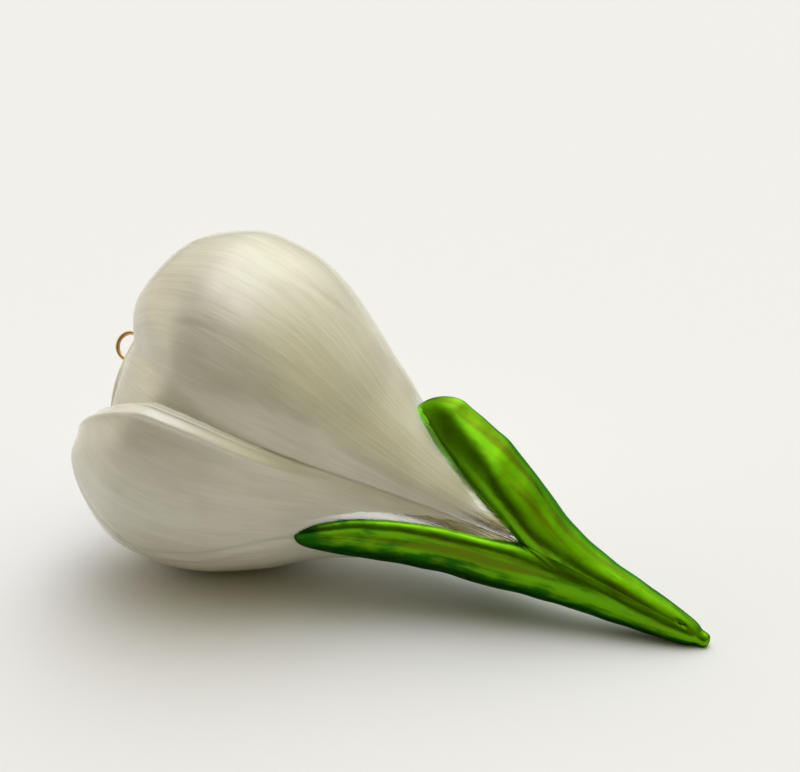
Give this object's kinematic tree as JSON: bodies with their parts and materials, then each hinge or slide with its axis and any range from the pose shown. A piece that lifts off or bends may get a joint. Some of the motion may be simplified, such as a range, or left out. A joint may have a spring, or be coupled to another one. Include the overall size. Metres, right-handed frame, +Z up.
{
  "type": "crocus flower ornament",
  "caption": "A hollow blown-glass hanging ornament in the form of a white crocus flower with green leaves, lying on its side, with a metal cap and wire loop.",
  "frame": {"origin": "Middle of the footprint at table height, under the centre of the lying flower.", "axes": "X runs along the flower from the petals at -X to the stem end at +X, Y is across it with the side shown in front at -Y, Z is up."},
  "size_m": [0.1194, 0.065, 0.0628],
  "materials": {
    "pearl_lacquer": "satin",
    "green_lacquer": "gloss",
    "cap_metal": "satin",
    "wire_metal": "gloss"
  },
  "bodies": {
    "root": {"glass_body": "pearl_lacquer", "cap": "cap_metal", "wire_hanger": "wire_metal"}
  },
  "joints": []
}
